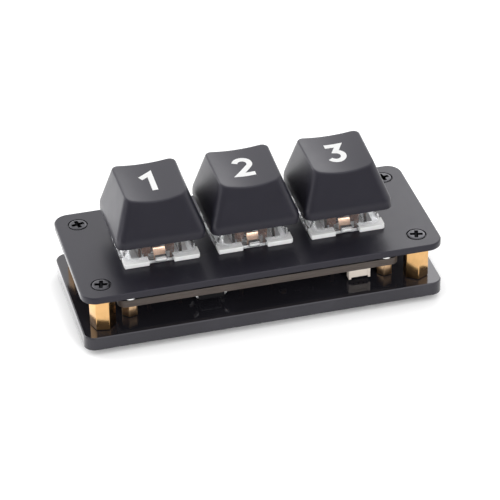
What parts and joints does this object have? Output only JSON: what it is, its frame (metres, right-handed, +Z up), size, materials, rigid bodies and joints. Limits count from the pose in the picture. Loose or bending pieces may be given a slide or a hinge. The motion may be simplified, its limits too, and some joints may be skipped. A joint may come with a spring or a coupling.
{
  "type": "mini keypad",
  "caption": "Small desk keypad: a row of mechanical key switches with dished caps, held in a plate over a circuit board and a glossy base plate on brass hex posts.",
  "frame": {"origin": "on the table, under the middle of the two plates", "axes": "+X along the row of keys to the right, +Y to the back where the cable socket is, +Z up"},
  "size_m": [0.0734, 0.0316, 0.0284],
  "materials": {
    "black_acrylic": "polished cast acrylic with glossy saw-cut edges",
    "black_plate": "fine satin black",
    "brass": "bright drawn hex stock",
    "black_screw": "black oxide, slightly glossy",
    "bright_screw": "bright zinc",
    "foot_rubber": "matt stick-on rubber",
    "board": "black solder mask over brown laminate",
    "bright_steel": "bright tinned sheet",
    "black_moulding": "fine matt moulding",
    "gold_contact": "gold flash",
    "cream_moulding": "plain cream nylon",
    "chip_resin": "fine matt resin",
    "capacitor_ceramic": "fired tan ceramic",
    "white_moulding": "smooth white nylon",
    "clear_moulding": "clear polycarbonate with moulding streaks",
    "brown_moulding": "smooth brown acetal",
    "copper_contact": "bright copper sheet",
    "cap_plastic": "fine spark-eroded grain"
  },
  "bodies": {
    "base": {"base_plate": "black_acrylic", "top_plate": "black_plate", "corner_posts": "brass", "board_posts": "brass", "top_screws": "black_screw", "base_screws": "black_screw", "board_screws": "bright_screw", "board_base_screws": "black_screw", "rubber_feet": "foot_rubber", "circuit_board": "board", "socket_shell": "bright_steel", "socket_insert": "black_moulding", "socket_contacts": "gold_contact", "header_housing": "cream_moulding", "header_pins": "gold_contact", "button_case": "black_moulding", "button_cover": "bright_steel", "button_dome": "bright_steel", "button_leads": "bright_steel", "controller_chip": "chip_resin", "memory_chip": "chip_resin", "crystal_can": "bright_steel", "voltage_regulator": "chip_resin", "capacitors": "capacitor_ceramic", "resistors": "chip_resin", "lower_housing_1": "white_moulding", "upper_housing_1": "clear_moulding", "return_spring_1": "bright_steel", "fixed_contact_1": "copper_contact", "contact_leaf_1": "copper_contact", "lower_housing_2": "white_moulding", "upper_housing_2": "clear_moulding", "return_spring_2": "bright_steel", "fixed_contact_2": "copper_contact", "contact_leaf_2": "copper_contact", "lower_housing_3": "white_moulding", "upper_housing_3": "clear_moulding", "return_spring_3": "bright_steel", "fixed_contact_3": "copper_contact", "contact_leaf_3": "copper_contact"},
    "key_1": {"keycap_1": "cap_plastic", "stem_1": "brown_moulding"},
    "key_2": {"keycap_2": "cap_plastic", "stem_2": "brown_moulding"},
    "key_3": {"keycap_3": "cap_plastic", "stem_3": "brown_moulding"},
    "button": {"button_plunger": "black_moulding"}
  },
  "joints": [
    {"name": "key_1_press", "type": "slide", "parent": "base", "child": "key_1", "axis": [0, 0, -1], "range_m": [0, 0.004], "stiffness_N_per_m": 60, "springref_m": -0.006, "deforming": ["return_spring_1"]},
    {"name": "key_2_press", "type": "slide", "parent": "base", "child": "key_2", "axis": [0, 0, -1], "range_m": [0, 0.004], "stiffness_N_per_m": 60, "springref_m": -0.006, "deforming": ["return_spring_2"]},
    {"name": "key_3_press", "type": "slide", "parent": "base", "child": "key_3", "axis": [0, 0, -1], "range_m": [0, 0.004], "stiffness_N_per_m": 60, "springref_m": -0.006, "deforming": ["return_spring_3"]},
    {"name": "button_press", "type": "slide", "parent": "base", "child": "button", "axis": [0, 0, 1], "range_m": [0, 0.00025], "stiffness_N_per_m": 2000, "springref_m": -0.0004, "deforming": ["button_dome"]}
  ]
}
